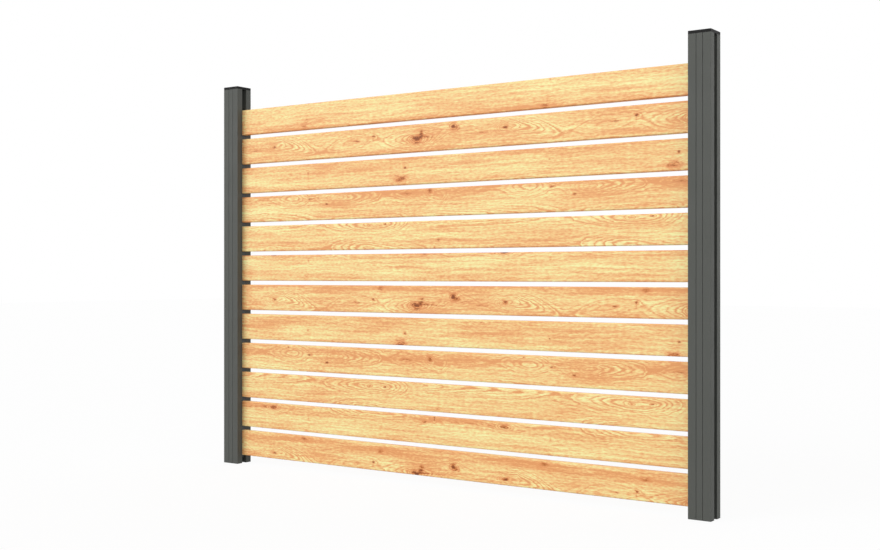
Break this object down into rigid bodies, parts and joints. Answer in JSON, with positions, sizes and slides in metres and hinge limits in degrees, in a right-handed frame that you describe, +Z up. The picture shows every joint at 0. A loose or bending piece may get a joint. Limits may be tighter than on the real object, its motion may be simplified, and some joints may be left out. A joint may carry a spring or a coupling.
{
  "type": "aluminium slatted fence panel",
  "caption": "One fence bay: two slotted square posts with flat caps hold level wood-look hollow slats, with open gaps, between them.",
  "frame": {"origin": "middle of the left post's foot, on its end face, where the bay stands on its ground fixing", "axes": "+X along the fence to the right post, +Y away from the front side, +Z up"},
  "size_m": [2.473, 0.09, 1.8],
  "materials": {
    "post_coat": "anthracite fine texture powder coat, matt",
    "cap_coat": "black grey fine texture powder coat, matt",
    "slat_film": "light oak wood grain decor coat, satin",
    "spacer_plastic": "anthracite moulded plastic, matt"
  },
  "bodies": {
    "root": {"left_post": "post_coat", "left_front_strip": "post_coat", "left_back_strip": "post_coat", "left_cap": "cap_coat", "left_seat": "spacer_plastic", "left_spacer_01": "spacer_plastic", "left_spacer_02": "spacer_plastic", "left_spacer_03": "spacer_plastic", "left_spacer_04": "spacer_plastic", "left_spacer_05": "spacer_plastic", "left_spacer_06": "spacer_plastic", "left_spacer_07": "spacer_plastic", "left_spacer_08": "spacer_plastic", "left_spacer_09": "spacer_plastic", "left_spacer_10": "spacer_plastic", "left_spacer_11": "spacer_plastic", "right_post": "post_coat", "right_front_strip": "post_coat", "right_back_strip": "post_coat", "right_cap": "cap_coat", "right_seat": "spacer_plastic", "right_spacer_01": "spacer_plastic", "right_spacer_02": "spacer_plastic", "right_spacer_03": "spacer_plastic", "right_spacer_04": "spacer_plastic", "right_spacer_05": "spacer_plastic", "right_spacer_06": "spacer_plastic", "right_spacer_07": "spacer_plastic", "right_spacer_08": "spacer_plastic", "right_spacer_09": "spacer_plastic", "right_spacer_10": "spacer_plastic", "right_spacer_11": "spacer_plastic", "slat_01": "slat_film", "slat_02": "slat_film", "slat_03": "slat_film", "slat_04": "slat_film", "slat_05": "slat_film", "slat_06": "slat_film", "slat_07": "slat_film", "slat_08": "slat_film", "slat_09": "slat_film", "slat_10": "slat_film", "slat_11": "slat_film", "slat_12": "slat_film"}
  },
  "joints": []
}
